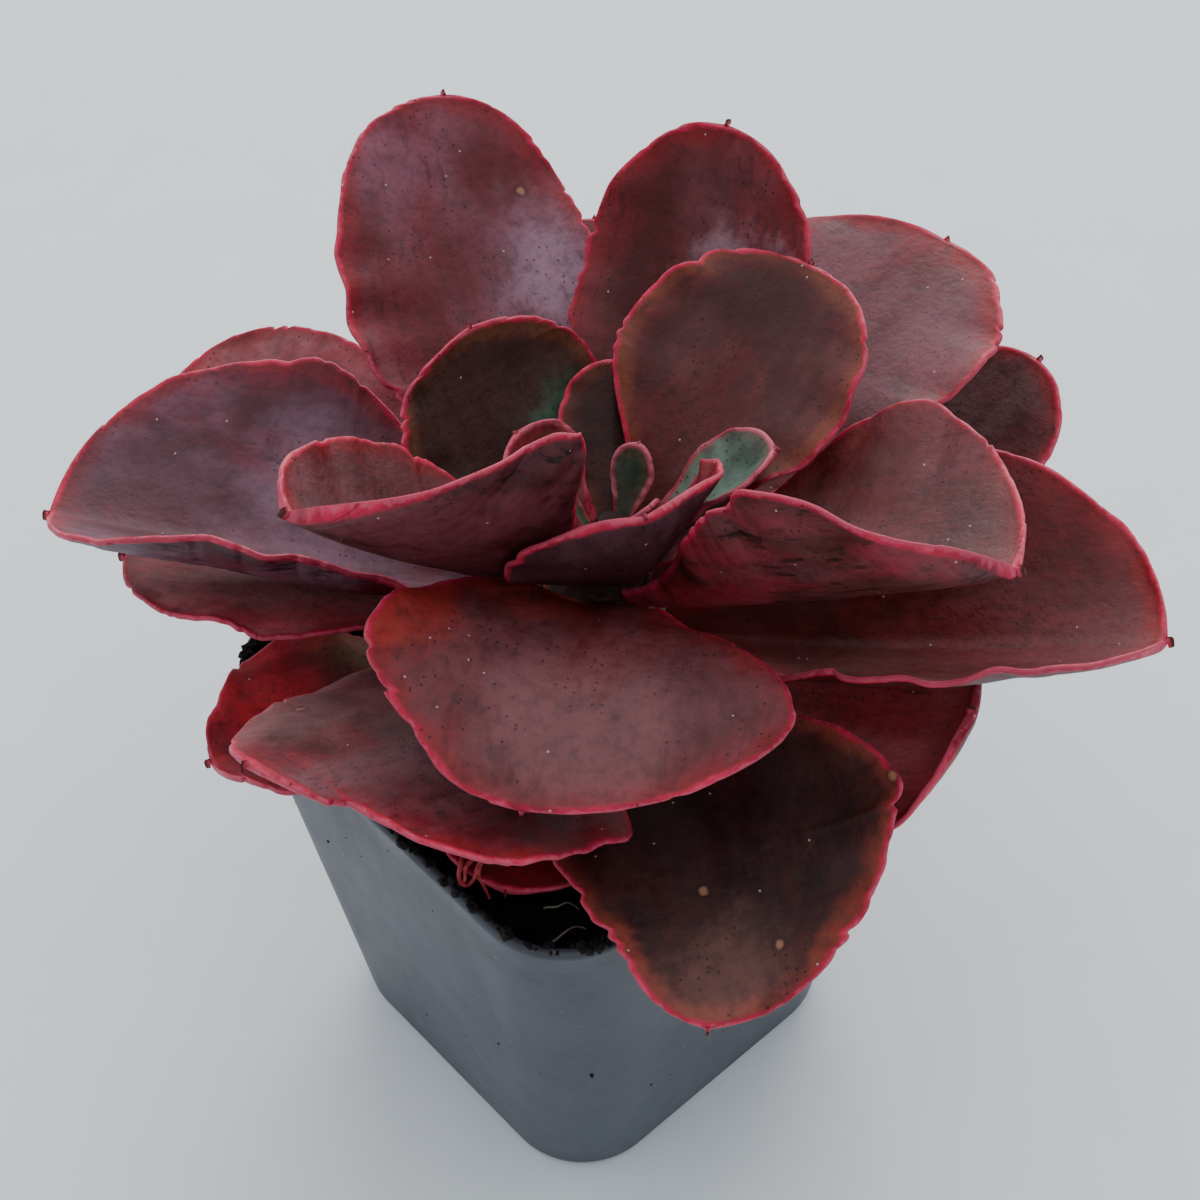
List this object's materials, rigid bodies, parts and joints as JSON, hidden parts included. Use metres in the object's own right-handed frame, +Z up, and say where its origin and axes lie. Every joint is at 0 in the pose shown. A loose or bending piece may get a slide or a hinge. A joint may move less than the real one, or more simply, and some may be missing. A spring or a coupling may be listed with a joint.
{
  "type": "potted succulent",
  "caption": "Small succulent with a loose rosette of broad waved leaves on a short stem, planted in a square tapered nursery pot.",
  "frame": {"origin": "middle of the pot's flat underside, on the surface it stands on", "axes": "+Z up along the pot's axis; X and Y square to the pot's walls; the corner between +X and -Y faces the picture's camera"},
  "size_m": [0.1385, 0.1251, 0.1226],
  "materials": {
    "pot": "satin dark grey plastic",
    "soil": "crumbly, nearly black potting mix",
    "stem": "rough brown bark",
    "old_leaf": "waxy burgundy leaf skin with a bloom",
    "inner_leaf": "waxy dark olive-brown leaf skin",
    "young_leaf": "waxy green leaf skin with a pink margin"
  },
  "bodies": {
    "root": {"pot": "pot", "soil": "soil", "stem": "stem", "leaf_old_front": "old_leaf", "leaf_low_left": "old_leaf", "leaf_low_back": "old_leaf", "leaf_low_right": "old_leaf", "leaf_far_left": "old_leaf", "leaf_low_back_right": "old_leaf", "leaf_droop_right": "old_leaf", "leaf_under_left": "old_leaf", "leaf_wide_right": "old_leaf", "leaf_droop_left": "old_leaf", "leaf_back_right": "old_leaf", "leaf_wide_left": "old_leaf", "leaf_back_left": "old_leaf", "leaf_back": "old_leaf", "leaf_front": "old_leaf", "leaf_boat_right": "old_leaf", "leaf_inner_left": "inner_leaf", "leaf_inner_back": "inner_leaf", "leaf_boat_left": "old_leaf", "leaf_inner_right": "inner_leaf", "leaf_cup": "old_leaf", "leaf_young_left": "young_leaf", "leaf_young_right": "young_leaf", "bud_leaf_right": "young_leaf", "bud_leaf_left": "young_leaf", "bud_leaf_front": "young_leaf"}
  },
  "joints": []
}
